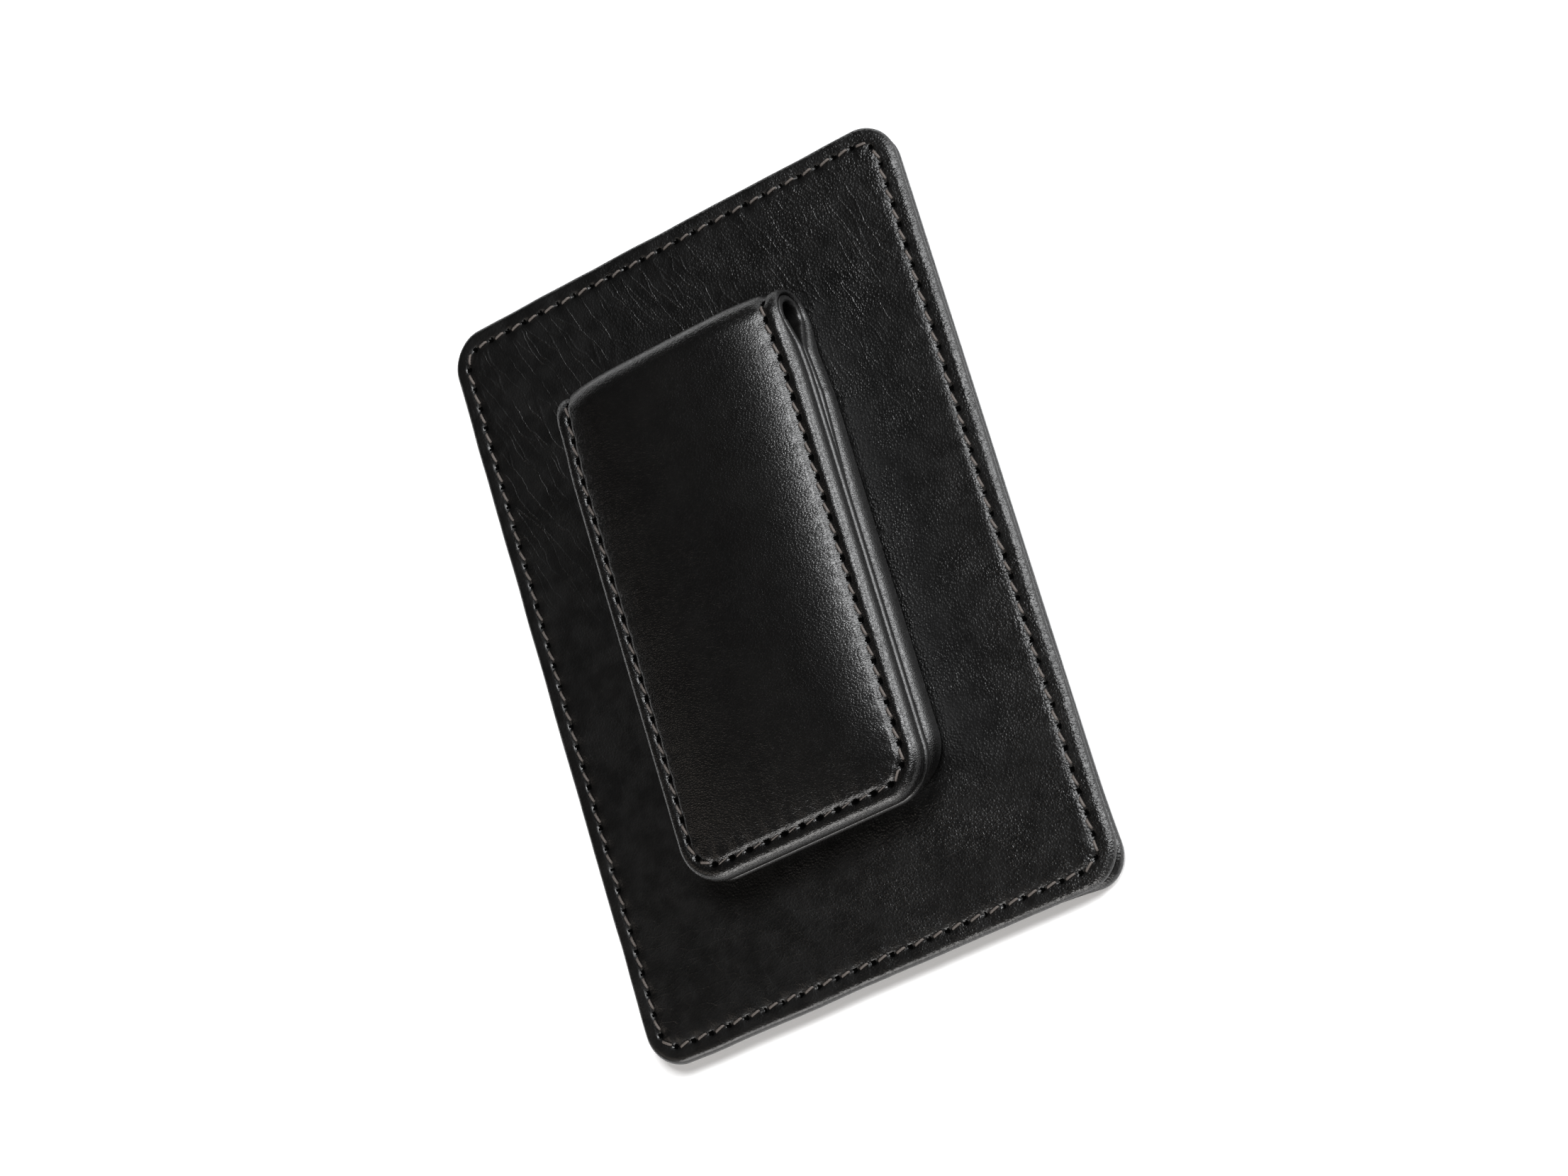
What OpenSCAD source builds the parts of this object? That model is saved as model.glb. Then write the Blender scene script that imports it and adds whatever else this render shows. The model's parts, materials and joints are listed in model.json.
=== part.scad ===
// Slim leather card case with a magnetic money clip on its face.
// The case lies flat on its pocket side, the clip is on top, and the clip's fold points to +Y.
// Origin: middle of the case, on the surface that it lies on. +X across, +Y along, +Z out of the face.

/* [Case] */
// Width of the case
case_w = 70; // [62:0.5:80]
// Length of the case
case_l = 100; // [92:0.5:112]
// Outline radius of the case's corners
case_r = 5; // [4:0.5:9]
// Thickness of the clip-side panel with its turned edge
front_t = 1.7; // [1.6:0.1:2.4]
// Thickness of the pocket-side panel with its turned edge
back_t = 1.7; // [1.6:0.1:2.4]
// How far the pocket-side panel stands back from the clip-side panel's edge
back_inset = 0.5; // [0.2:0.1:1]
// Distance of the case's seam from its edge
seam_inset = 2.3; // [2:0.1:3]
// Stitch length of the case's seam, hole to hole
case_pitch = 2.75; // [2.2:0.05:3.6]

/* [Card pockets] */
// Distance from the pocket frame's outer edge to its window
frame_w = 5; // [4:0.5:8]
// Height of the outer card pocket's mouth above the middle of the case
outer_mouth_y = 12; // [4:1:20]
// Height of the inner card pocket's mouth above the middle of the case
inner_mouth_y = 26; // [22:1:34]
// Thickness of the pocket leather
pocket_t = 0.45; // [0.35:0.05:0.45]

/* [Clip] */
// Width of the clip's strap
clip_w = 35.4; // [30:0.2:42]
// Y of the open end of the flap
flap_end_y = -32.5; // [-38:0.5:-26]
// How much shorter the fixed leaf is than the flap at the open end
base_short = 2; // [0.5:0.5:4]
// Y where the fold begins
root_y = 25.5; // [22:0.5:28]
// Y of the fold's outer tip
tip_y = 33.8; // [33:0.1:37]
// Thickness of each leaf's outer leather over its filling, at the edge
leaf_t = 2.85; // [2.6:0.05:3.4]
// Thickness of each leaf's lining leather
lining_t = 1.15; // [0.9:0.05:1.3]
// Clearance between the two closed leaves
leaf_gap = 0.3; // [0.2:0.05:0.6]
// How much the padded flap rises above its seam
flap_crown = 0.5; // [0:0.05:1]
// Outline radius of the clip's corners
clip_r = 5.5; // [4:0.5:8]
// Distance of the clip's seam from its edge
clip_seam = 1.75; // [1.6:0.05:2.5]
// Stitch length of the clip's seam, hole to hole
clip_pitch = 2.65; // [2.2:0.05:3.4]

/* [Magnets] */
// Diameter of each disc magnet
magnet_d = 12; // [8:1:13]
// Distance between the two magnets of a leaf
magnet_gap_x = 15; // [14.5:0.5:16]
// Distance of the magnets from the flap's open end
magnet_end = 11; // [11:0.5:14]

/* [Hidden] */
$fn = 64;
eps = 0.05;

// levels, from the resting face up
face_z = back_t + front_t;                 // the clip-side panel's face
base_lining_z = face_z + leaf_t;
gap_z = base_lining_z + lining_t;          // top of the fixed leaf
flap_z = gap_z + leaf_gap;                 // underside of the flap
flap_leather_z = flap_z + lining_t;
flap_top = flap_leather_z + leaf_t;        // flap's face along its edge
mid_z = (face_z + flap_top) / 2;           // middle of the fold
sheet = 0.9;                               // the clip's outer leather as a single sheet
base_end_y = flap_end_y + base_short;
board_t = leaf_t - sheet;                  // filling inside a leaf: board, with the magnets let in
foam_t = 0.25;                             // foam at the seam, thicker under the crown
groove_d = 0.3;                            // depth of the seams' grooves
groove_w = 0.9;
thread_w = 0.4;

// the crown of the flap is part of a wide cylinder along Y
crown_half = clip_w / 2 - clip_seam - groove_w / 2;
crown_r = (crown_half * crown_half + flap_crown * flap_crown) / (2 * max(flap_crown, 0.01));

leather = "#1b1a1b";
edge_leather = "#232122";
thread = "#5c5049";
textile = "#2a2a2d";
card = "#8d7f6a";
foam = "#6d6d70";
metal = "#b9bcc2";

// ---- shared shapes ----

// rectangle with round corners, centred
module rrect(w, l, r) {
    square([w - 2 * r, l], center = true);
    square([w, l - 2 * r], center = true);
    for (x = [-1, 1], y = [-1, 1])
        translate([x * (w / 2 - r), y * (l / 2 - r)]) circle(r);
}

// outline of one leaf of the clip: square at the root, round at the open end
module leaf_outline(w, end_y, r, top = root_y) {
    translate([-w / 2, end_y + r]) square([w, top - end_y - r]);
    translate([-w / 2 + r, end_y]) square([w - 2 * r, 2 * r]);
    for (x = [-1, 1]) translate([x * (w / 2 - r), end_y + r]) circle(r);
}

// half disc on the +X side of the line x = at
module half_round(r, at = 0) {
    translate([at, 0]) intersection() {
        circle(r);
        translate([0, -r]) square([r, 2 * r]);
    }
}

// half-round rim along a straight side of length len, its flat face on x = 0
module rim_side(len, t) {
    rotate([90, 0, 0]) translate([0, t / 2, -len / 2]) linear_extrude(len) half_round(t / 2);
}

// quarter of a half-round rim round a corner of outline radius r
module rim_corner(r, t) {
    rotate_extrude(angle = 90) translate([0, t / 2]) half_round(t / 2, r - t / 2);
}

// slab whose whole edge is rolled over, thickness t, on z = 0
module rolled_slab(w, l, r, t) {
    linear_extrude(t) rrect(w - t, l - t, r - t / 2);
    for (s = [0, 180]) rotate(s) {
        translate([w / 2 - t / 2, 0, 0]) rim_side(l - 2 * r, t);
        rotate(90) translate([l / 2 - t / 2, 0, 0]) rim_side(w - 2 * r, t);
        translate([w / 2 - r, l / 2 - r, 0]) rim_corner(r, t);
        mirror([1, 0, 0]) translate([w / 2 - r, l / 2 - r, 0]) rim_corner(r, t);
    }
}

// leaf with its two sides and open end rolled over, cut square at the root
module rolled_leaf(w, end_y, r, t, top = root_y) {
    side = top - end_y - r;
    linear_extrude(t) leaf_outline(w - t, end_y + t / 2, r - t / 2, top);
    for (m = [0, 1]) mirror([m, 0, 0]) {
        translate([w / 2 - t / 2, end_y + r + side / 2, 0]) rim_side(side, t);
        translate([w / 2 - r, end_y + r, 0]) rotate(-90) rim_corner(r, t);
    }
    translate([0, end_y + t / 2, 0]) rotate(-90) rim_side(w - 2 * r, t);
}

// ring between two outlines, for the case's seam
module seam_ring(width) {
    i = seam_inset - width / 2;
    o = seam_inset + width / 2;
    difference() {
        rrect(case_w - 2 * i, case_l - 2 * i, case_r - i);
        rrect(case_w - 2 * o, case_l - 2 * o, case_r - o);
    }
}

// U-shaped strip along the clip's seam
module clip_seam_strip(width, end_y, top = root_y) {
    i = clip_seam - width / 2;
    o = clip_seam + width / 2;
    difference() {
        leaf_outline(clip_w - 2 * i, end_y + i, clip_r - i, top);
        leaf_outline(clip_w - 2 * o, end_y + o, clip_r - o, top + 1);
    }
}

// row of n slanted stitches along X, centred
module stitch_row(n, pitch, slant = 14) {
    for (k = [0 : n - 1]) translate([(k - (n - 1) / 2) * pitch, 0])
        rotate(slant) square([0.66 * pitch, thread_w], center = true);
}

// one stitch across a corner, x and y give the centre of the corner's arc
module corner_stitch(x, y, r, a) {
    translate([x + r * cos(a), y + r * sin(a)]) rotate(a - 90) stitch_row(1, clip_pitch, 0);
}

// the case's seam: stitches on four straight sides and one across each corner
module case_stitches() {
    nx = floor((case_w - 2 * case_r) / case_pitch);
    ny = floor((case_l - 2 * case_r) / case_pitch);
    for (s = [0, 180]) rotate(s) {
        translate([0, case_l / 2 - seam_inset]) stitch_row(nx, case_pitch);
        translate([case_w / 2 - seam_inset, 0]) rotate(90) stitch_row(ny, case_pitch);
        for (x = [-1, 1]) corner_stitch(
            x * (case_w / 2 - case_r), case_l / 2 - case_r, case_r - seam_inset, 90 - x * 45);
    }
}

// the clip's seam: stitches on both sides and across the open end
module clip_stitches(end_y) {
    len = root_y - end_y - clip_r;
    ny = floor(len / clip_pitch);
    nx = floor((clip_w - 2 * clip_r) / clip_pitch);
    for (x = [-1, 1]) translate([x * (clip_w / 2 - clip_seam), end_y + clip_r + len / 2])
        rotate(90) stitch_row(ny, clip_pitch);
    translate([0, end_y + clip_seam]) stitch_row(nx, clip_pitch);
    for (x = [-1, 1]) corner_stitch(
        x * (clip_w / 2 - clip_r), end_y + clip_r, clip_r - clip_seam, x * 45 - 90);
}

// solid under the flap's crown; drop lowers the crown surface
module crown_body(z0, w, end_y, r, drop) {
    intersection() {
        translate([0, 0, z0]) linear_extrude(6) leaf_outline(w, end_y, r);
        translate([0, root_y, flap_top + flap_crown - drop - crown_r])
            rotate([90, 0, 0]) cylinder(h = root_y - flap_end_y + 5, r = crown_r, $fn = 720);
    }
}

// two disc magnets side by side
module magnet_pair(t, grow = 0) {
    for (x = [-1, 1]) translate([x * magnet_gap_x / 2, flap_end_y + magnet_end, 0])
        cylinder(h = t, d = magnet_d + grow);
}

// side view of the fold (y, z from the fold's middle level): outer outline
module fold_outer() {
    r = (flap_top - face_z) / 2;
    translate([tip_y - r, 0]) circle(r, $fn = 96);
    translate([root_y, -r]) square([tip_y - r - root_y, 2 * r]);
}

// drop-shaped loop inside the fold: round at the tip, tapering to half height h at the root
module fold_drop(r, tip, h) {
    a = 104;
    yc = tip - r;
    translate([yc, 0]) circle(r);
    polygon([
        [yc + r * cos(a), r * sin(a)], [root_y - eps, h],
        [root_y - eps, -h], [yc + r * cos(a), -r * sin(a)], [yc, 0]
    ]);
}

module extrude_across(w) {
    rotate([90, 0, 90]) translate([0, mid_z, -w / 2]) linear_extrude(w) children();
}

// ---- case ----

// outer leather of the clip side: edge turned over, hollow below for board and lining
module clip_side_panel() {
    color(leather) difference() {
        translate([0, 0, back_t]) rolled_slab(case_w, case_l, case_r, front_t);
        translate([0, 0, back_t - 1]) linear_extrude(1.75) rrect(case_w - 6, case_l - 6, 3);
        // mouth of the middle pocket, across the +Y end
        translate([-case_w / 2 + 3, case_l / 2 - 4, back_t - 1]) cube([case_w - 6, 5, 1.05]);
        translate([0, 0, face_z - groove_d]) linear_extrude(1) seam_ring(groove_w);
    }
}

// stiffening board inside the clip side
module clip_side_board() {
    color(card) translate([0, 0, back_t + 0.35]) linear_extrude(0.4)
        rrect(case_w - 6.2, case_l - 6.2, 2.9);
}

// textile lining of the middle pocket, clip side
module clip_side_lining() {
    color(textile) translate([0, 0, back_t + eps]) linear_extrude(0.3)
        rrect(case_w - 6.2, case_l - 6.2, 2.9);
}

// textile lining of the middle pocket, pocket side
module pocket_side_lining() {
    color(textile) translate([0, 0, back_t - 0.3 - eps]) linear_extrude(0.3)
        rrect(case_w - 7.2, case_l - 7.2, 2.9);
}

// outer leather of the pocket side: turned edge, frame round the card pockets
module pocket_side_panel() {
    w = case_w - 2 * back_inset;
    l = case_l - 2 * back_inset;
    color(leather) difference() {
        rolled_slab(w, l, case_r - back_inset, back_t);
        translate([0, 0, back_t - 0.3 - eps]) linear_extrude(1) rrect(case_w - 7, case_l - 7, 3);
        translate([0, 0, -1]) linear_extrude(1 + 2 * pocket_t + eps)
            rrect(w - 2 * frame_w, l - 2 * frame_w, 3);
        translate([0, 0, groove_d + eps - 1]) linear_extrude(1) seam_ring(groove_w);
    }
}

// card pocket leather: fills the frame's window up to its mouth, with a thumb notch
module card_pocket(mouth_y, z) {
    w = case_w - 2 * back_inset - 2 * frame_w - 2 * eps;
    l = case_l - 2 * back_inset - 2 * frame_w - 2 * eps;
    translate([0, 0, z]) linear_extrude(pocket_t - eps) difference() {
        intersection() {
            rrect(w, l, 3 - eps);
            translate([-w, -l]) square([2 * w, l + mouth_y]);
        }
        translate([0, mouth_y + 2]) circle(8);
    }
}

module inner_card_pocket() {
    color(leather) card_pocket(inner_mouth_y, pocket_t + eps);
}

module outer_card_pocket() {
    color(leather) card_pocket(outer_mouth_y, eps);
}

// thread of the case's seam on the clip side
module case_face_thread() {
    color(thread) translate([0, 0, face_z - groove_d]) {
        linear_extrude(0.1) seam_ring(0.2);
        linear_extrude(groove_d) case_stitches();
    }
}

// thread of the case's seam on the pocket side
module case_back_thread() {
    color(thread) translate([0, 0, eps]) {
        translate([0, 0, groove_d - 0.1]) linear_extrude(0.1) seam_ring(0.2);
        linear_extrude(groove_d) mirror([1, 0]) case_stitches();
    }
}

// ---- fixed leaf of the clip ----

// outer leather of the fixed leaf, sewn to the case's face, edges turned up round the filling
module base_leather() {
    color(leather) difference() {
        translate([0, 0, face_z]) rolled_leaf(clip_w, base_end_y, clip_r, leaf_t);
        translate([0, 0, face_z + sheet]) linear_extrude(leaf_t)
            leaf_outline(clip_w - 5, base_end_y + 2.5, clip_r - 2.5, root_y - 1.5);
    }
}

// board of the fixed leaf, with the magnets let in
module base_board() {
    color(card) difference() {
        translate([0, 0, face_z + sheet]) linear_extrude(board_t)
            leaf_outline(clip_w - 5.2, base_end_y + 2.6, clip_r - 2.6, root_y - 1.6);
        translate([0, 0, face_z]) magnet_pair(5, 0.1);
    }
}

module base_magnets() {
    color(metal) translate([0, 0, face_z + sheet]) magnet_pair(board_t);
}

// lining leather of the fixed leaf, edges rolled to a thin bead
module base_lining() {
    color(edge_leather) difference() {
        translate([0, 0, base_lining_z])
            rolled_leaf(clip_w - 0.3, base_end_y + 0.15, clip_r - 0.15, lining_t);
        translate([0, 0, gap_z - groove_d]) linear_extrude(1)
            clip_seam_strip(groove_w, base_end_y, root_y + 1);
    }
}

// thread of the fixed leaf's seam, on its lining
module base_thread() {
    color(thread) translate([0, 0, gap_z - groove_d]) {
        linear_extrude(0.1) clip_seam_strip(0.2, base_end_y);
        linear_extrude(groove_d) clip_stitches(base_end_y);
    }
}

// ---- fold ----

// outer leather round the fold
module fold_leather() {
    color(leather) extrude_across(clip_w) difference() {
        fold_outer();
        fold_drop(2.3, tip_y - 1.1, (flap_leather_z - base_lining_z) / 2);
    }
}

// lining leather round the inside of the fold
module fold_lining() {
    color(edge_leather) extrude_across(clip_w - 0.3) intersection() {
        difference() {
            fold_drop(2.3, tip_y - 1.1, (flap_leather_z - base_lining_z) / 2);
            fold_drop(1.2, tip_y - 2.2, leaf_gap / 2);
        }
        translate([root_y, -5]) square([12, 10]);
    }
}

// ---- flap ----

// outer leather of the flap: edges turned under, padded crown inside the seam
module flap_leather() {
    inset = clip_seam + groove_w / 2;
    color(leather) difference() {
        union() {
            translate([0, 0, flap_leather_z])
                rolled_leaf(clip_w, flap_end_y, clip_r, leaf_t, root_y - eps);
            intersection() {
                crown_body(flap_top - 0.2, clip_w - 2 * inset, flap_end_y + inset, clip_r - inset, 0);
                translate([-50, -50, 0]) cube([100, 50 + root_y - eps, 50]);
            }
        }
        crown_body(flap_leather_z - 1, clip_w - 5, flap_end_y + 2.5, clip_r - 2.5, sheet);
        translate([0, 0, flap_top - groove_d]) linear_extrude(1)
            clip_seam_strip(groove_w, flap_end_y, root_y + 1);
    }
}

// foam that gives the flap its crown: flat underneath, arched on top
module flap_foam() {
    half = clip_w / 2 - 2.6;
    z0 = flap_leather_z + board_t - foam_t;
    z1 = flap_top + flap_crown - sheet - 0.03;
    n = 16;
    color(foam) intersection() {
        translate([0, 0, z0]) linear_extrude(3)
            leaf_outline(2 * half, flap_end_y + 2.6, clip_r - 2.6, root_y - 1.6);
        translate([0, root_y, 0]) rotate([90, 0, 0]) linear_extrude(root_y - flap_end_y) polygon([
            [-half - 1, z0 - 1],
            for (k = [-n : n]) let (x = k / n * (half + 1)) [x, z1 - x * x / (2 * crown_r)],
            [half + 1, z0 - 1]
        ]);
    }
}

// board of the flap, with the magnets let in
module flap_board() {
    color(card) difference() {
        translate([0, 0, flap_leather_z]) linear_extrude(board_t - foam_t)
            leaf_outline(clip_w - 5.2, flap_end_y + 2.6, clip_r - 2.6, root_y - 1.6);
        translate([0, 0, flap_z]) magnet_pair(5, 0.1);
    }
}

module flap_magnets() {
    color(metal) translate([0, 0, flap_leather_z]) magnet_pair(board_t - foam_t);
}

// lining leather of the flap, edges rolled to a thin bead
module flap_lining() {
    color(edge_leather) difference() {
        translate([0, 0, flap_z])
            rolled_leaf(clip_w - 0.3, flap_end_y + 0.15, clip_r - 0.15, lining_t, root_y - eps);
        translate([0, 0, flap_z + groove_d - 1]) linear_extrude(1)
            clip_seam_strip(groove_w, flap_end_y, root_y + 1);
    }
}

// thread of the flap's seam on its face
module flap_face_thread() {
    color(thread) translate([0, 0, flap_top - groove_d]) {
        linear_extrude(0.1) clip_seam_strip(0.2, flap_end_y, root_y - eps);
        linear_extrude(groove_d) clip_stitches(flap_end_y);
    }
}

// thread of the flap's seam on its lining
module flap_back_thread() {
    color(thread) translate([0, 0, flap_z]) {
        translate([0, 0, groove_d - 0.1]) linear_extrude(0.1) clip_seam_strip(0.2, flap_end_y, root_y - eps);
        linear_extrude(groove_d) clip_stitches(flap_end_y);
    }
}

clip_side_panel();
clip_side_board();
clip_side_lining();
pocket_side_lining();
pocket_side_panel();
inner_card_pocket();
outer_card_pocket();
case_face_thread();
case_back_thread();
base_leather();
base_board();
base_magnets();
base_lining();
base_thread();
fold_leather();
fold_lining();
flap_leather();
flap_foam();
flap_board();
flap_magnets();
flap_lining();
flap_face_thread();
flap_back_thread();
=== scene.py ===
"""Slim leather card case with a magnetic money clip: the looks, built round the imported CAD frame.

Lengths in this script are millimetres in the part's frame (+Z out of the case's face, +Y towards the
clip's fold) and become metres only when a mesh is made.
"""
import math
import bpy
import numpy as np
from mathutils import Matrix, Vector, noise
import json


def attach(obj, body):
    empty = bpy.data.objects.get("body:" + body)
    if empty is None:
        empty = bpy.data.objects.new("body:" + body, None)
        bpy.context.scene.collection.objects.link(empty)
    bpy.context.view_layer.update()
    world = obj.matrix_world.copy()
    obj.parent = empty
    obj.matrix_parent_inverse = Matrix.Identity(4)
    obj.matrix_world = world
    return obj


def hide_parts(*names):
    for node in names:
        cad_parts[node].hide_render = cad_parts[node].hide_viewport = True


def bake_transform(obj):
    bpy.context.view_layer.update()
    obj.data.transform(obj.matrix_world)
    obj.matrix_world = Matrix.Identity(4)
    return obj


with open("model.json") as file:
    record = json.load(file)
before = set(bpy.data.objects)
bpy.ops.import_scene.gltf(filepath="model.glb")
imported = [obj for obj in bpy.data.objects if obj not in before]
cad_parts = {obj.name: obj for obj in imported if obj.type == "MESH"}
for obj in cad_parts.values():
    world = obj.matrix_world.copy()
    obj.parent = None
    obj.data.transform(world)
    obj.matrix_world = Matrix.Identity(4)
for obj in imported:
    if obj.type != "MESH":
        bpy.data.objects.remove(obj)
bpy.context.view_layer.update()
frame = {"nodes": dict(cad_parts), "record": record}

MM = 0.001

# ---------------------------------------------------------------- sizes, as in the CAD model
CASE_W, CASE_L, CASE_R = 70.0, 100.0, 5.0
FRONT_T, BACK_T = 1.7, 1.7
BACK_INSET = 0.5
FACE_Z = FRONT_T + BACK_T
SEAM = 2.3  # the case's seam, from its edge
CASE_PITCH = 2.75
FRAME_W = 5.0  # turned frame round the card pockets

CLIP_W, CLIP_R = 35.4, 5.5
FLAP_END, BASE_END = -32.5, -30.5
ROOT, TIP = 25.5, 33.8  # where the fold begins, and its outer tip
LEAF_T, LINING_T, GAP = 2.85, 1.15, 0.3
CLIP_SEAM = 1.75
CLIP_PITCH = 2.65
SHEET = 0.9  # outer leather as a single sheet
CROWN, CROWN_REACH, END_REACH = 1.8, 4.0, 6.5  # how far the padding lifts the middle of the flap
FLAP_TOP = FACE_Z + 2 * LEAF_T + 2 * LINING_T + GAP
MID_Z = (FACE_Z + FLAP_TOP) / 2
FOLD_R = (FLAP_TOP - FACE_Z) / 2
LOOP_R, LOOP_WALL = 2.75, 1.1  # radius of the lining's loop, leather outside it at the tip
LOOP_LINING = 1.0


# ---------------------------------------------------------------- small helpers
def smooth(x, lo, hi):
    """0 below lo, 1 above hi, smooth between."""
    t = np.clip((np.asarray(x, float) - lo) / (hi - lo), 0, 1)
    return t * t * (3 - 2 * t)


def bell(x, width):
    return np.exp(-((np.asarray(x, float) / width) ** 2))


def fbm(points, scale, octaves=3, seed=0.0):
    """Smooth noise, about -1 to 1, at points (mm); scale is the size of its largest features."""
    out = np.empty(len(points))
    offset = Vector((seed * 17.3, seed * 5.1, seed * 9.7))
    for i, p in enumerate(points):
        out[i] = noise.fractal(Vector(p) / scale + offset, 1.0, 2.0, octaves)
    return out


def make_object(name, verts, faces, material, body, rest=None, ride=True, hole_shade_marks=None):
    """Mesh object from vertices in mm. rest is where its grain is laid out, by default where it is;
    the last argument is 1 at vertices inside needle holes, whose faces get the holes' painted shade."""
    verts = np.asarray(verts, float)
    mesh = bpy.data.meshes.new(name)
    mesh.from_pydata((verts * MM).tolist(), [], faces)
    mesh.validate()
    mesh.update()
    mesh.shade_smooth()
    attribute = mesh.attributes.new("rest", "FLOAT_VECTOR", "POINT")
    attribute.data.foreach_set("vector", np.asarray(verts if rest is None else rest, float).ravel())
    mesh.materials.append(material)
    # faces inside needle holes get painted shade: the dark, glossless hole material
    if hole_shade_marks is not None:
        mesh.materials.append(HOLE_SHADE_MATERIAL)
        inside = [int(np.mean([hole_shade_marks[v] for v in face.vertices]) > 0.5) for face in mesh.polygons]
        mesh.polygons.foreach_set("material_index", inside)
    obj = bpy.data.objects.new(name, mesh)
    bpy.context.collection.objects.link(obj)
    if ride:
        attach(obj, body)
    return obj


def weld(verts, faces, distance=0.004):
    """Merges vertices closer than distance and drops the faces that collapse."""
    keys = np.round(np.asarray(verts) / distance).astype(np.int64)
    _, first, inverse = np.unique(keys, axis=0, return_index=True, return_inverse=True)
    inverse = inverse.ravel()
    kept = []
    for face in faces:
        loop = []
        for v in face:
            w = int(inverse[v])
            if not loop or loop[-1] != w:
                loop.append(w)
        if len(loop) > 1 and loop[0] == loop[-1]:
            loop.pop()
        if len(set(loop)) > 2 and len(set(loop)) == len(loop):
            kept.append(loop)
    return first, kept


def grid_faces(rows, cols, wrap_cols=False, start=0):
    faces = []
    for i in range(rows - 1):
        for j in range(cols if wrap_cols else cols - 1):
            a, b = start + i * cols + j, start + i * cols + (j + 1) % cols
            faces.append((a, b, b + cols, a + cols))
    return faces


def even_pitch(length, wanted):
    """The stitch length nearest to the wanted one that divides a seam evenly."""
    return length / round(length / wanted)


# ---------------------------------------------------------------- camera
def make_camera():
    """Where the lens stands, and its axes: right, up, and back towards the viewer."""
    place = Vector((283.6, -168.3, 504.0)) * MM
    right = Vector((0.79461, -0.27830, -0.53958)).normalized()
    back = Vector((0.46967, -0.28139, 0.83680)).normalized()
    up = back.cross(right).normalized()
    right = up.cross(back)
    data = bpy.data.cameras.new("camera")
    data.sensor_width = 36.0
    data.lens = 111.7
    data.clip_start, data.clip_end = 0.01, 20.0
    cam = bpy.data.objects.new("camera", data)
    bpy.context.collection.objects.link(cam)
    cam.matrix_world = Matrix.Translation(place) @ Matrix((right, up, back)).transposed().to_4x4()
    bpy.context.scene.camera = cam


make_camera()


# ---------------------------------------------------------------- materials
class Nodes:
    """A few shortcuts for building a node tree."""

    def __init__(self, name):
        self.material = bpy.data.materials.new(name)
        self.material.use_nodes = True
        self.tree = self.material.node_tree
        self.shader = self.tree.nodes["Principled BSDF"]

    def new(self, kind, **values):
        node = self.tree.nodes.new(kind)
        for key, value in values.items():
            if key in node.inputs:
                node.inputs[key].default_value = value
            else:
                setattr(node, key, value)
        return node

    def link(self, a, b):
        self.tree.links.new(a, b)

    def math(self, operation, a, b=None):
        node = self.tree.nodes.new("ShaderNodeMath")
        node.operation = operation
        for socket, value in zip(node.inputs, (a, b)):
            if value is None:
                continue
            if isinstance(value, (int, float)):
                socket.default_value = value
            else:
                self.link(value, socket)
        return node.outputs[0]

    def rest(self, scale=(1, 1, 1), rotate=(0, 0, 0), source=None):
        """Coordinates of the rest layout in mm, or another source, rotated and then scaled."""
        if source is None:
            source = self.new("ShaderNodeAttribute", attribute_name="rest").outputs["Vector"]
        turned = self.new("ShaderNodeMapping")
        turned.inputs["Rotation"].default_value = rotate
        self.link(source, turned.inputs["Vector"])
        scaled = self.new("ShaderNodeMapping")
        scaled.inputs["Scale"].default_value = scale
        self.link(turned.outputs[0], scaled.inputs["Vector"])
        return scaled.outputs[0]

    def warp(self, vector, scale, amount):
        """The vector pushed about by noise."""
        field = self.new("ShaderNodeTexNoise", Scale=scale, Detail=1.0)
        self.link(vector, field.inputs["Vector"])
        centred = self.new("ShaderNodeVectorMath", operation="SUBTRACT")
        self.link(field.outputs["Color"], centred.inputs[0])
        centred.inputs[1].default_value = (0.5, 0.5, 0.5)
        scaled = self.new("ShaderNodeVectorMath", operation="SCALE")
        self.link(centred.outputs[0], scaled.inputs[0])
        scaled.inputs["Scale"].default_value = 2 * amount
        moved = self.new("ShaderNodeVectorMath", operation="ADD")
        self.link(vector, moved.inputs[0])
        self.link(scaled.outputs[0], moved.inputs[1])
        return moved.outputs[0]

    def noise(self, vector, scale, detail=2.0, rough=0.5):
        node = self.new("ShaderNodeTexNoise", Scale=scale, Detail=detail, Roughness=rough)
        self.link(vector, node.inputs["Vector"])
        return node.outputs["Fac"]

    def voronoi(self, vector, scale, feature):
        node = self.new("ShaderNodeTexVoronoi", Scale=scale)
        node.feature = feature
        self.link(vector, node.inputs["Vector"])
        return node.outputs["Distance"]

    def ramp(self, value, lo, hi, out_lo=0.0, out_hi=1.0):
        """Smooth step from out_lo to out_hi as the value goes from lo to hi."""
        node = self.new("ShaderNodeMapRange")
        node.interpolation_type = "SMOOTHSTEP"
        self.link(value, node.inputs["Value"])
        for key, number in zip(("From Min", "From Max", "To Min", "To Max"), (lo, hi, out_lo, out_hi)):
            node.inputs[key].default_value = number
        return node.outputs[0]

    def mix(self, factor, a, b):
        node = self.new("ShaderNodeMix", data_type="RGBA")
        self.link(factor, node.inputs["Factor"])
        node.inputs[6].default_value = (*a, 1)
        node.inputs[7].default_value = (*b, 1)
        return node.outputs[2]

    def bump(self, height, distance, normal=None):
        node = self.new("ShaderNodeBump", Strength=1.0, Distance=distance)
        self.link(height, node.inputs["Height"])
        if normal is not None:
            self.link(normal, node.inputs["Normal"])
        return node.outputs[0]


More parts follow.
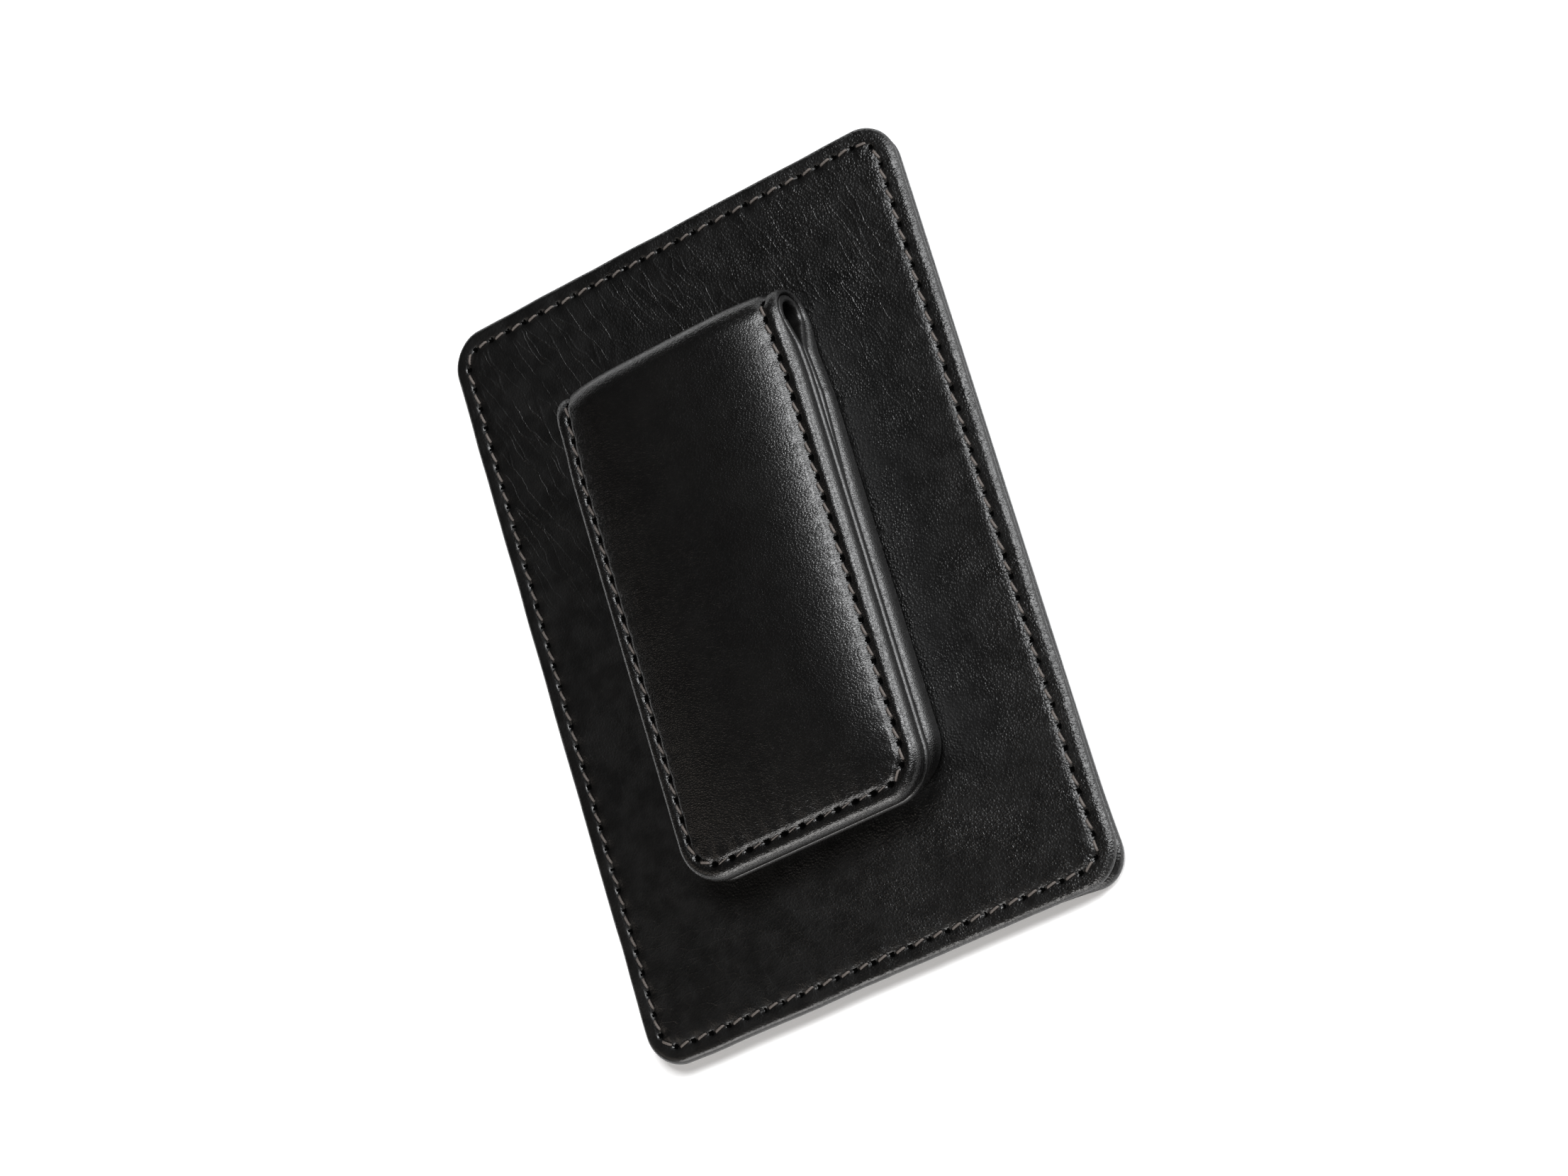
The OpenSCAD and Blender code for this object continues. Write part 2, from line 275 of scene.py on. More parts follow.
def leather(name, dark, light, roughness, grain, depth, creases=False, uneven=0.4, longer=1.0,
            domed=0.5):
    """Black grained leather: pebbles about `grain` mm across, `longer` times that along X, with
    valleys `depth` mm deep. domed is the share of rounded pebbles in it, the rest are flat-topped;
    uneven is how much bolder and glossier it is in places."""
    n = Nodes(name)
    rest = n.rest()
    bent = n.warp(n.rest(scale=(1 / longer, 1, 1)), 1 / (1.8 * grain), 0.55 * grain)
    flat_topped = n.ramp(n.voronoi(bent, 1 / grain, "DISTANCE_TO_EDGE"), 0.0, 0.32)
    dome = n.ramp(n.voronoi(bent, 1 / grain, "F1"), 0.0, 0.85, 1.0, 0.0)
    place = n.new("ShaderNodeSeparateXYZ")
    n.link(rest, place.inputs[0])
    patch = n.ramp(n.noise(rest, 1 / 6.0, 2.0), 0.35, 0.65, 1 - uneven, 1.0)
    if creases:
        patch = n.math("MULTIPLY", patch, n.ramp(place.outputs["X"], -26.0, 18.0, 0.35, 1.0))
    height = n.math("ADD", n.math("MULTIPLY", flat_topped, 1 - domed), n.math("MULTIPLY", dome, domed))
    normal = n.bump(n.math("MULTIPLY", height, patch), depth * MM)
    if creases:
        normal = crease_lines(n, rest, normal)
    n.link(normal, n.shader.inputs["Normal"])
    broad = n.noise(rest, 1 / 9.0, 3.0)
    n.link(n.mix(n.ramp(broad, 0.3, 0.7), dark, light), n.shader.inputs["Base Color"])
    rough = n.ramp(n.noise(rest, 1 / 2.5, 3.0), 0.3, 0.7, roughness - 0.08 * uneven,
                   roughness + 0.1 * uneven)
    n.link(rough, n.shader.inputs["Roughness"])
    return n.material


def crease_lines(n, rest, normal):
    """Fine raised wrinkles inside the case's seam: long ones near its upper end, 22 degrees off its
    length, and shorter ones across it below the clip."""
    place = n.new("ShaderNodeSeparateXYZ")
    n.link(rest, place.inputs[0])
    across, along = place.outputs["X"], place.outputs["Y"]
    inside = n.math("MULTIPLY", n.ramp(n.math("ABSOLUTE", across), 31.0, 33.0, 1.0, 0.0),
                    n.ramp(n.math("ABSOLUTE", along), 46.0, 48.0, 1.0, 0.0))
    bent = n.warp(n.warp(rest, 1 / 7.0, 1.4), 1 / 1.3, 0.25)
    patch = n.ramp(n.noise(rest, 1 / 7.0, 2.0), 0.36, 0.56)
    for turn, size, stretch, lo, hi, height in ((-22, 1.6, 0.16, 2.0, 30.0, 0.030),
                                                (84, 1.3, 0.30, -28.0, -36.0, 0.012)):
        turned = n.rest(scale=(1.0, stretch, stretch), rotate=(0, 0, math.radians(turn)), source=bent)
        line = n.ramp(n.voronoi(turned, 1 / size, "DISTANCE_TO_EDGE"), 0.0, 0.08, 1.0, 0.0)
        zone = n.ramp(along, lo, hi, 0.2 if turn < 0 else 0.0, 1.0)
        mask = n.math("MULTIPLY", n.math("MULTIPLY", zone, patch), inside)
        normal = n.bump(n.math("MULTIPLY", line, mask), height * MM, normal)
    return normal


def thread_material():
    n = Nodes("thread")
    rest = n.rest()
    fibre = n.noise(rest, 9.0, 3.0, 0.7)
    n.link(n.mix(fibre, (0.034, 0.028, 0.025), (0.100, 0.084, 0.074)), n.shader.inputs["Base Color"])
    n.shader.inputs["Roughness"].default_value = 0.6
    n.link(n.bump(fibre, 0.03 * MM), n.shader.inputs["Normal"])
    return n.material


def plain_material(name, dark, light, roughness, scale, depth, metallic=0.0, specular=0.5):
    """For the hidden fillings, and for the painted shade in the needle holes: a mottled colour and a fine
    bump.
    """
    n = Nodes(name)
    rest = n.new("ShaderNodeTexCoord").outputs["Object"]
    grain = n.noise(rest, scale, 4.0, 0.6)
    n.link(n.mix(grain, dark, light), n.shader.inputs["Base Color"])
    n.shader.inputs["Roughness"].default_value = roughness
    n.shader.inputs["Metallic"].default_value = metallic
    n.shader.inputs["Specular IOR Level"].default_value = specular
    n.link(n.bump(grain, depth * MM), n.shader.inputs["Normal"])
    return n.material


CASE_LEATHER = leather("case_leather", (0.0009, 0.0009, 0.0009), (0.0018, 0.0017, 0.0017),
                       0.36, 0.36, 0.050, creases=True, domed=0.8)
STRAP_LEATHER = leather("strap_leather", (0.0012, 0.0011, 0.0011), (0.0022, 0.0021, 0.0020),
                        0.30, 0.25, 0.022, uneven=0.15, longer=1.7, domed=0.4)
LINING_LEATHER = leather("lining_leather", (0.0016, 0.0015, 0.0015), (0.0026, 0.0025, 0.0024),
                         0.32, 0.25, 0.014, uneven=0.2, longer=1.7, domed=0.4)
THREAD = thread_material()
# painted shade: near-black and glossless, for the shade deep in the needle holes and their dark raw edges
HOLE_SHADE_MATERIAL = plain_material("needle_hole_painted_shade", (0.0008, 0.0008, 0.0008), (0.0014, 0.0014, 0.0014),
                             0.9, 900, 0.01, specular=0.0)
HIDDEN = {
    "board": plain_material("board", (0.10, 0.07, 0.045), (0.17, 0.125, 0.085), 0.85, 900, 0.03),
    "foam": plain_material("foam", (0.03, 0.03, 0.032), (0.06, 0.06, 0.063), 0.9, 1500, 0.06),
    "magnet": plain_material("magnet", (0.5, 0.5, 0.51), (0.62, 0.62, 0.63), 0.25, 500, 0.005, 1.0),
    "textile_lining": plain_material("textile_lining", (0.008, 0.008, 0.009), (0.02, 0.02, 0.022),
                                     0.8, 2500, 0.03),
}


# ---------------------------------------------------------------- closed panels with a turned edge
class Outline:
    """Rounded rectangle, and the nested rings inside it. Every ring has the same points in order,
    so station gives each point's place along the seam (mm, anticlockwise from the middle of +X)."""

    def __init__(self, w, l, r, seam, step=0.34):
        self.w, self.l, self.r, self.seam = w, l, r, seam
        arc = (r - seam) * math.pi / 2
        long_side, short_side = l - 2 * r, w - 2 * r
        n_long, n_short = round(long_side / step), round(short_side / step)
        n_arc = max(10, round(r * math.pi / 2 / step))
        self.parts = [("side", 0, n_long), ("arc", 0, n_arc), ("side", 1, n_short), ("arc", 1, n_arc),
                      ("side", 2, n_long), ("arc", 2, n_arc), ("side", 3, n_short), ("arc", 3, n_arc)]
        station, here = [], -long_side / 2
        for kind, k, n in self.parts:
            length = arc if kind == "arc" else (short_side if k % 2 else long_side)
            station += [here + length * j / n for j in range(n)]
            here += length
        self.station = np.array(station)
        self.length = 2 * (long_side + short_side + 2 * arc)

    def ring(self, d, least=0.3):
        w, l = self.w / 2 - d, self.l / 2 - d
        rho = min(max(self.r - d, least), w)
        points = []
        centres = [(w - rho, l - rho), (-w + rho, l - rho), (-w + rho, -l + rho), (w - rho, -l + rho)]
        starts = [(w, -l + rho), (w - rho, l), (-w, l - rho), (-w + rho, -l)]
        ends = [(w, l - rho), (-w + rho, l), (-w, -l + rho), (w - rho, -l)]
        for kind, k, n in self.parts:
            for j in range(n):
                t = j / n
                if kind == "side":
                    (x0, y0), (x1, y1) = starts[k], ends[k]
                    points.append((x0 + (x1 - x0) * t, y0 + (y1 - y0) * t))
                else:
                    a = math.pi / 2 * (k + t)
                    points.append((centres[k][0] + rho * math.cos(a), centres[k][1] + rho * math.sin(a)))
        return np.array(points)


GROOVE, CASE_GROOVE = 0.32, 0.20  # how deep the thread pulls the leather in
FLANGE = 0.62  # how much of that remains outside the seam
SHOULDER, CASE_SHOULDER = 0.42, 0.62  # how wide the bulge over the thread is
HOLE, PIT = 0.36, 0.34  # size and depth of a needle hole


def hole_mask(q, along_seam, size):
    return bell(along_seam, size) * bell(np.asarray(q, float) + 0.05, 0.30)


def painted_hole_shade(q, station, pitch, phase, size):
    """1 inside a needle hole, 0 away from it: where the holes' painted shade goes."""
    to_hole = (station / pitch + phase + 0.5) % 1.0 - 0.5
    return smooth(hole_mask(q, to_hole * pitch, size), 0.06, 0.35)


def seam_relief(q, station, pitch, phase, groove=GROOVE, pit=PIT, pucker=0.02, hole_size=HOLE,
                width=SHOULDER):
    """Height of the leather along a seam: q is the distance across it (mm), positive towards the
    middle of the panel, and station the distance along it. Inside the seam a steep shoulder bulges
    over the thread between the needle holes, outside it lies a pressed-down flange, and each hole
    is a pit."""
    to_hole = (station / pitch + phase + 0.5) % 1.0 - 0.5
    near_hole = np.cos(2 * math.pi * to_hole)  # 1 at a hole, -1 halfway to the next
    shoulder = np.exp(-np.abs(q / (width + 0.10 * near_hole)) ** 2.0)
    flange = FLANGE + (1 - FLANGE) * bell(q, 0.45)
    hole = hole_mask(q, to_hole * pitch, hole_size)
    swell = near_hole * bell(np.abs(q) - 0.95, 0.55)
    return -groove * np.where(q > 0, shoulder, flange) - pit * hole - pucker * swell


def rim_arc(t, steps=12):
    """(inset, height) round a half-round rim of thickness t, from underneath to the top."""
    r = t / 2
    angles = [(-90 + 180 * k / steps) * math.pi / 180 for k in range(steps + 1)]
    return [(r - r * math.cos(a), r + r * math.sin(a)) for a in angles]


def inner_insets(start, stop, first=0.25, grow=1.22, widest=1.3):
    values, here, step = [], start, first
    while here < stop:
        values.append(here)
        here += step
        step = min(step * grow, widest)
    return values


def panel(outline, profile, shape, pitch):
    """Mesh of nested rings: profile lists (inset, height), shape moves the points (n, 3)."""
    verts, hole_shade_marks = [], []
    for index, (d, z) in enumerate(profile):
        ring = outline.ring(min(d, outline.w / 2))
        points = np.column_stack([ring, np.full(len(ring), z)])
        verts.append(shape(points, d, outline.station, index))
        # where the needle holes' painted shade goes
        hole_shade_marks.append(painted_hole_shade(d - outline.seam, outline.station, pitch, 0.0, 0.29))
    cols = len(outline.station)
    verts = np.concatenate(verts)
    faces = grid_faces(len(profile), cols, wrap_cols=True)
    first, faces = weld(verts, faces)
    return verts[first], faces, np.concatenate(hole_shade_marks)[first]


def clip_side_panel():
    """Outer leather of the clip side: its face, its rim, and the edge turned over underneath."""
    out = Outline(CASE_W, CASE_L, CASE_R, SEAM)
    half, under = CASE_W / 2, 0.75  # the leather's underside, over the board
    hidden = [(half, under), (20.0, under), (3.1, under), (3.0, 0.7), (3.0, 0.0), (2.0, 0.0)]
    rim = rim_arc(FRONT_T)
    seam = [(d, FRONT_T) for d in np.arange(1.0, 4.2, 0.13)]
    inner = [(d, FRONT_T) for d in inner_insets(4.3, half)] + [(half, FRONT_T)]
    profile = hidden + rim + seam + inner
    top_from = len(hidden) + len(rim) // 2
    pitch = even_pitch(out.length, CASE_PITCH)

    def shape(p, d, station, index):
        p[:, 2] += BACK_T
        if index < len(hidden):
            return p
        x, y = p[:, 0].copy(), p[:, 1].copy()
        if index >= top_from:
            p[:, 2] += seam_relief(d - SEAM, station, pitch, 0.0, CASE_GROOVE, width=CASE_SHOULDER)
            broad = fbm(np.column_stack([x, y, np.zeros_like(x)]), 22.0, 2, 1.0)
            p[:, 2] += 0.035 * broad * smooth(d, 2.6, 8.0)
            fine = fbm(np.column_stack([x, y * 0.6, np.zeros_like(x)]), 3.0, 3, 2.0)
            p[:, 2] += 0.008 * fine * smooth(d, 2.3, 3.5)
        # the turned edge is never quite straight
        near = np.column_stack([x, y, np.full_like(x, 5.0)])
        wobble = 0.10 * fbm(near, 9.0, 2, 3.0) * (1 - smooth(d, 1.0, 5.0))
        normal = np.column_stack([
            smooth(np.abs(x), 28, 33) * np.sign(x), smooth(np.abs(y), 43, 48) * np.sign(y)])
        p[:, :2] += normal * wobble[:, None]
        return p

    verts, faces, hole_shade_marks = panel(out, profile, shape, pitch)
    obj = make_object("clip_side_leather", verts, faces, CASE_LEATHER, "case",
                      hole_shade_marks=hole_shade_marks)
    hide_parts("clip_side_panel")
    return out, pitch


def pocket_side_panel():
    """Outer leather of the pocket side: a turned frame round the card pockets."""
    w, l, r = CASE_W - 2 * BACK_INSET, CASE_L - 2 * BACK_INSET, CASE_R - BACK_INSET
    out = Outline(w, l, r, SEAM - BACK_INSET)
    depth = 0.95  # of the window that the card pockets fill
    under = BACK_T - 0.35
    hidden = [(w / 2, under), (15.0, under), (3.0, under), (3.0, BACK_T), (2.0, BACK_T)]
    rim = rim_arc(BACK_T)[::-1]
    seam = [(d, 0.0) for d in np.arange(1.0, 3.4, 0.15)]
    frame_edge = [(3.7, 0.0), (4.1, 0.0), (4.45, 0.0), (4.65, 0.03), (4.82, 0.11), (4.93, 0.25),
                  (FRAME_W, 0.45), (FRAME_W, depth)]
    window = [(d, depth) for d in inner_insets(5.3, w / 2, 0.6)] + [(w / 2, depth)]
    profile = hidden + rim + seam + frame_edge + window
    pitch = even_pitch(out.length, CASE_PITCH)
    corner = np.array([w / 2, -l / 2])

    def shape(p, d, station, index):
        if index < len(hidden):
            return p
        if len(hidden) + len(rim) <= index < len(hidden) + len(rim) + len(seam):
            p[:, 2] -= seam_relief(d - out.seam, station, pitch, 0.0, CASE_GROOVE, width=CASE_SHOULDER)
        # at one corner the second layer stands out from under the first
        away = np.linalg.norm(p[:, :2] - corner, axis=1)
        push = 0.95 * bell(away, 7.0) * (1 - smooth(d, 1.0, 4.0))
        p[:, 0] += 0.45 * push
        p[:, 1] -= 0.85 * push
        return p

    verts, faces, hole_shade_marks = panel(out, profile, shape, pitch)
    faces = [f[::-1] for f in faces]
    obj = make_object("pocket_side_leather", verts, faces, CASE_LEATHER, "case",
                      hole_shade_marks=hole_shade_marks)
    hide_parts("pocket_side_panel")
    return out, pitch


# ---------------------------------------------------------------- the clip's strap
class Leaf:
    """Nested U-shaped lines of a leaf, open at the root, from its left side round the open end.
    The same points in order on every line, station is each one's place along the seam."""

    def __init__(self, w, end, r, root, seam, step=0.28):
        self.w, self.end, self.r, self.root = w, end, r, root
        side, across, arc = root - end - r, w - 2 * r, (r - seam) * math.pi / 2
        n_side, n_across = round(side / step), round(across / step)
        n_arc = round(r * math.pi / 2 / step)
        self.counts = [n_side, n_arc, n_across, n_arc, n_side]
        lengths = [side, arc, across, arc, side]
        station, here = [], 0.0
        for k, (n, length) in enumerate(zip(self.counts, lengths)):
            station += [here + length * j / n for j in range(n + (k == 4))]
            here += length
        self.station, self.length, self.lengths = np.array(station), here, lengths

    def line(self, d, least=0.25):
        half = self.w / 2 - d
        rho = min(max(self.r - d, least), max(half, 0.0))
        bottom = self.end + d
        x, y = half - rho, bottom + rho
        points = []
        for k, n in enumerate(self.counts):
            for j in range(n + (k == 4)):
                t = j / n
                if k == 0:
                    points.append((-half, self.root + (y - self.root) * t))
                elif k == 1:
                    a = math.pi * (1 + t / 2)
                    points.append((-x + rho * math.cos(a), y + rho * math.sin(a)))
                elif k == 2:
                    points.append((-x + 2 * x * t, bottom))
                elif k == 3:
                    a = math.pi * (1.5 + t / 2)
                    points.append((x + rho * math.cos(a), y + rho * math.sin(a)))
                else:
                    points.append((half, y + (self.root - y) * t))
        return np.array(points)


def drop_path(radius, tip, half_root, steps=40, root=ROOT):
    """Round a drop-shaped loop from its upper root to its lower one: (y, z, normal y, normal z)."""
    yc = tip - radius
    run, rise = yc - root, half_root
    reach = math.hypot(run, rise)
    # angle at which the straight side leaves the circle
    a = math.acos(max(-1.0, min(1.0, radius / reach))) if reach > radius else math.pi / 2
    lean = math.atan2(rise, -run)
    a0 = lean - a
    path = []
    tangent = (yc + radius * math.cos(a0), radius * math.sin(a0))
    n_line = 12
    for k in range(n_line):
        t = k / n_line
        path.append((root + (tangent[0] - root) * t, rise + (tangent[1] - rise) * t,
                     math.cos(a0), math.sin(a0)))
    for k in range(steps + 1):
        b = a0 - 2 * a0 * k / steps
        path.append((yc + radius * math.cos(b), radius * math.sin(b), math.cos(b), math.sin(b)))
    path += [(y, -z, ny, -nz) for y, z, ny, nz in reversed(path[:n_line])]
    return path


def outer_path(steps=44):
    """The fold's outer face from the flap's root to the fixed leaf's: same form as drop_path."""
    yc = TIP - FOLD_R
    n_line = 12
    line = [(ROOT + (yc - ROOT) * k / n_line, FOLD_R, 0.0, 1.0) for k in range(n_line)]
    arc = []
    for k in range(steps + 1):
        a = math.pi / 2 - math.pi * k / steps
        arc.append((yc + FOLD_R * math.cos(a), FOLD_R * math.sin(a), math.cos(a), math.sin(a)))
    return line + arc + [(y, -z, ny, -nz) for y, z, ny, nz in reversed(line)]


def thickness_to_drop(y, z, ny, nz):
    """Leather thickness at a point of the outer face, measured inwards to the drop-shaped lining."""
    inside = drop_path(LOOP_R, TIP - LOOP_WALL, LINING_T + GAP / 2, 60)
    best = None
    for (py, pz, *_), (qy, qz, *_) in zip(inside, inside[1:]):
        # ray from (y, z) along -(ny, nz) against the segment p-q
        dy, dz = qy - py, qz - pz
        det = -ny * -dz - -nz * -dy
        if abs(det) < 1e-9:
            continue
        ry, rz = py - y, pz - z
        s = (ry * -dz - rz * -dy) / det
        u = (-ny * rz - -nz * ry) / det
        if -1e-6 <= u <= 1 + 1e-6 and s > 0 and (best is None or s < best):
            best = s
    return best if best is not None else LEAF_T


def sag(x, facing):
    """How far the middle of the fold hangs back, where it faces along Y."""
    return (0.9 * (2 * x / CLIP_W) ** 2 - 0.8) * max(facing, 0.0)


def fold_narrowing(y):
    """The strap draws in a little towards the fold."""
    return 1 - 0.035 * smooth(y, 21.0, 32.0)


def base_narrowing(y):
    """The same on the fixed leaf, which begins to draw in only at its root."""
    return fold_narrowing(np.where(np.asarray(y, float) > 20, 3.5 + np.asarray(y, float), y))


TURNED_UP = 0.85  # how far the fixed leaf's turned edge stands up round its lining
TURN_FADES = 2.0, 25.0  # and between which y it dies away
RIM_REACH, BULGE, RIM_STEPS = 0.85, 0.3, 14  # how far the turned edge curves inwards and outwards


def strap_profile(half):
    """The strap's cross-section from under its middle, round the edge, to its middle on top:
    (kind, inset, share of the thickness)."""
    under = [("inner", half, 0), ("inner", 8.0, 0), ("inner", 2.6, 0), ("inner", 2.5, 1), ("low", 1.8, 1)]
    rim = []
    for k in range(RIM_STEPS + 1):
        a = math.pi * (k / RIM_STEPS - 0.5)
        rim.append(("upper rim" if a > 0 else "rim", RIM_REACH - (RIM_REACH + BULGE) * math.cos(a),
                    0.5 - 0.5 * math.sin(a)))
    seam = list(np.arange(0.95, 2.6, 0.11))
    inner = inner_insets(2.7, 6.3, 0.2, 1.12) + inner_insets(6.4, half, 0.9, 1.1)
    return under + rim + [("top", d, 0.0) for d in seam + inner + [half]]


def rising(distance, reach):
    """0 up to distance 0, then towards 1."""
    return 1 - np.exp(-np.maximum(distance, 0) / reach)


def crown(x, y, d):
    """How far the padding lifts the flap: it falls away to the seam on the sides and the open end."""
    from_side, from_end = CLIP_W / 2 - np.abs(x) - CLIP_SEAM, y - FLAP_END - CLIP_SEAM
    lift = CROWN * rising(from_side, CROWN_REACH) * rising(from_end, END_REACH)
    return lift * smooth(d - CLIP_SEAM, -0.1, 0.8)


def at_open_end(leaf):
    """1 at the stations along the leaf's open end, 0 along its sides."""
    first, last = sum(leaf.lengths[:2]) - 1.5, sum(leaf.lengths[:3]) + 1.5
    return smooth(leaf.station, first - 1, first + 1) * (1 - smooth(leaf.station, last - 1, last + 1))


def flap_groove(leaf):
    """The seam is pulled in less along the open end."""
    return GROOVE * (1 - 0.6 * at_open_end(leaf))


def flap_surface(x, y, d, leaf, pitch):
    """Relief of the flap's face: padding, seam, and wide needle holes along the open end."""
    end = at_open_end(leaf)
    z = crown(x, y, d) + seam_relief(d - CLIP_SEAM, leaf.station, pitch, 0.5, flap_groove(leaf),
                                     pit=PIT + 0.3 * end, hole_size=HOLE + 0.10 * end)
    ripple = np.cos(2 * math.pi * leaf.station / pitch) * bell(d - 3.2, 1.5) * smooth(d, 1.9, 2.6)
    return z + (0.006 + 0.010 * end) * ripple


def strap_leather():
    """Outer leather as one strap: flap, round the fold, fixed leaf."""
    flap = Leaf(CLIP_W, FLAP_END, CLIP_R, ROOT, CLIP_SEAM)
    base = Leaf(CLIP_W, BASE_END, CLIP_R, ROOT, CLIP_SEAM)
    half = CLIP_W / 2
    profile = strap_profile(half)
    rows, cols = len(profile), len(flap.station)
    pitch = even_pitch(flap.length, CLIP_PITCH)
    verts, rest, hole_shade_marks = [], [], []

    def depth(kind, share, thick, inner):
        """Distance below the outer face; inner is the thickness where the leaf is hollow."""
        return inner if kind == "inner" and share == 0 else thick * share

    for kind, d, share in profile:
        line = flap.line(d)
        x, y = line[:, 0], line[:, 1]
        z = np.full(len(x), FLAP_TOP - depth(kind, share, LEAF_T, SHEET))
        if kind in ("top", "upper rim"):
            z = z + flap_surface(x, y, d, flap, pitch)
            z = z + 0.008 * fbm(np.column_stack([x, y, 0 * x]), 11.0, 2, 4.0) * smooth(d, 2.0, 6.0)
        elif kind == "rim":
            z = z - FLANGE * flap_groove(flap) * (1 - share) * 2
        verts.append(np.column_stack([x * fold_narrowing(y), y, z]))
        rest.append(np.column_stack([x, y, z]))
        # where the needle holes' painted shade goes on the face, wider along the open end
        size = 0.34 + 0.08 * at_open_end(flap)
        holes = painted_hole_shade(d - CLIP_SEAM, flap.station, pitch, 0.5, size)
        hole_shade_marks.append(holes if kind == "top" else 0 * x)
    faces = grid_faces(rows, cols)

    # round the fold, where each half of the cross-section ends at the strap's middle line
    path = outer_path()[1:-1]
    travelled, last = 0.0, (ROOT, FOLD_R)
    fold_start = len(verts) * cols
    for y, z, ny, nz in path:
        travelled += math.hypot(y - last[0], z - last[1])
        last = (y, z)
        thick = thickness_to_drop(y, z, ny, nz)
        upper = float(smooth(z, -FOLD_R, 0.2 * FOLD_R))  # the flap's relief dies away underneath
        narrow = float(fold_narrowing(y) if nz > 0 else fold_narrowing(max(y, 29.0)))
        for side in (-1, 1):
            for kind, d, share in profile:
                if kind == "rim":
                    d = (d + BULGE) * min(thick / LEAF_T, 1.0) - BULGE
                x = side * (half - d)
                h = -depth(kind, share, thick, thick)
                if kind in ("top", "upper rim"):
                    relief = crown(x, y, d) * smooth(z, -1.0, FOLD_R) + seam_relief(
                        np.array(d - CLIP_SEAM), -travelled, pitch, 0.5)
                    h += float(relief) * upper
                elif kind == "rim":
                    h -= FLANGE * GROOVE * (1 - share) * 2 * upper
                verts.append(np.array([[x * narrow, y + ny * h + sag(x, ny), MID_Z + z + nz * h]]))
                rest.append(np.array([[x, ROOT + travelled, FLAP_TOP + h]]))
                # painted shade in the needle holes round the fold
                shade_in_hole = kind == "top" and upper > 0.6
                hole_shade_marks.append(np.array([shade_in_hole * painted_hole_shade(d - CLIP_SEAM, -travelled, pitch, 0.5, 0.34)]))

    def fold_index(step, side, k):
        return fold_start + (2 * step + (side > 0)) * rows + k

    def strip(left, right, flip):
        """Faces between two columns given as index functions of k."""
        for k in range(rows - 1):
            quad = (left(k), left(k + 1), right(k + 1), right(k))
            faces.append(quad[::-1] if flip else quad)

    strip(lambda k: k * cols, lambda k: fold_index(0, -1, k), False)
    strip(lambda k: k * cols + cols - 1, lambda k: fold_index(0, 1, k), True)
    for s in range(len(path) - 1):
        for side in (-1, 1):
            strip(lambda k: fold_index(s, side, k), lambda k: fold_index(s + 1, side, k), side > 0)

    # fixed leaf: the same section upside down, flat where it is sewn to the case
    fold_length = travelled + math.hypot(ROOT - last[0], -FOLD_R - last[1])
    start = fold_start + len(path) * rows * 2
    base_cols = len(base.station)
    for kind, d, share in profile:
        line = base.line(d)
        x, y = line[:, 0], line[:, 1]
        tall = LEAF_T + TURNED_UP * (1 - smooth(y, *TURN_FADES)) * (1 - smooth(d, 0.9, 1.8))
        z = FACE_Z + depth(kind, share, LEAF_T if kind == "inner" else tall, SHEET) + 0 * x
        verts.append(np.column_stack([x * base_narrowing(y), y, z]))
        rest.append(np.column_stack([x, fold_length + 2 * ROOT - y, FLAP_TOP + FACE_Z - z]))
    faces += [face[::-1] for face in grid_faces(rows, base_cols, start=start)]
    final = len(path) - 1
    strip(lambda k: fold_index(final, -1, k), lambda k: start + k * base_cols, False)
    strip(lambda k: fold_index(final, 1, k), lambda k: start + k * base_cols + base_cols - 1, True)

    verts, rest = np.concatenate(verts), np.concatenate(rest)
    first, faces = weld(verts, faces)
    hole_shade_marks = np.concatenate(hole_shade_marks)
    hole_shade_marks = np.concatenate([hole_shade_marks, np.zeros(len(verts) - len(hole_shade_marks))])
    obj = make_object("strap_leather", verts[first], faces, STRAP_LEATHER, "flap", rest=rest[first],
                      ride=False, hole_shade_marks=hole_shade_marks[first])
    blend_at_fold(obj)
    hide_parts("base_leather", "fold_leather", "flap_leather")
    return flap, pitch


def blend_at_fold(obj):
    """Bakes the piece's placement into its mesh; the piece is not split to follow the case below the fold's
    middle and the flap above it.
    """
    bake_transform(obj)


LINING_OUT = 0.15  # how far a lining stands out all round
LINING_W = CLIP_W + 0.3
SET_BACK = 0.7  # of the fixed lining inside the leaf's turned edge
LINING_CUT = 29.0  # where the linings of the leaves give way to the loop's
LOOP_Y = TIP - LOOP_WALL - LOOP_R  # centre of the loop


def lining_profile(half):
    """(inset, share of the thickness) from the hidden side, round the bead, over the inner face."""
    hidden = [(half, 1.0), (8.0, 1.0), (1.5, 1.0)]
    r = LINING_T / 2
    bead = [(r * (1 - max(1 - d / r, 0.0) ** 0.55), h / LINING_T) for d, h in reversed(rim_arc(LINING_T))]
    face = [0.8, 1.0, 1.15, 1.3, 1.45, 1.6, 1.75, 1.9, 2.1, 2.4, 2.9, 3.7, 5.0, 7.0, 9.5, 12.5, 15.5, half]
    return hidden + bead + [(d, 0.0) for d in face]


def opening(y, radius, at_root):
    """Half the height of the loop's space at y, for the lining's inner or outer face."""
    path = drop_path(radius, LOOP_Y + radius, at_root, 80)
    ys, zs = zip(*[(p[0], p[1]) for p in path if p[1] > 0 and p[0] <= LOOP_Y])
    return np.where(y < ROOT, at_root, np.interp(y, ys, zs))


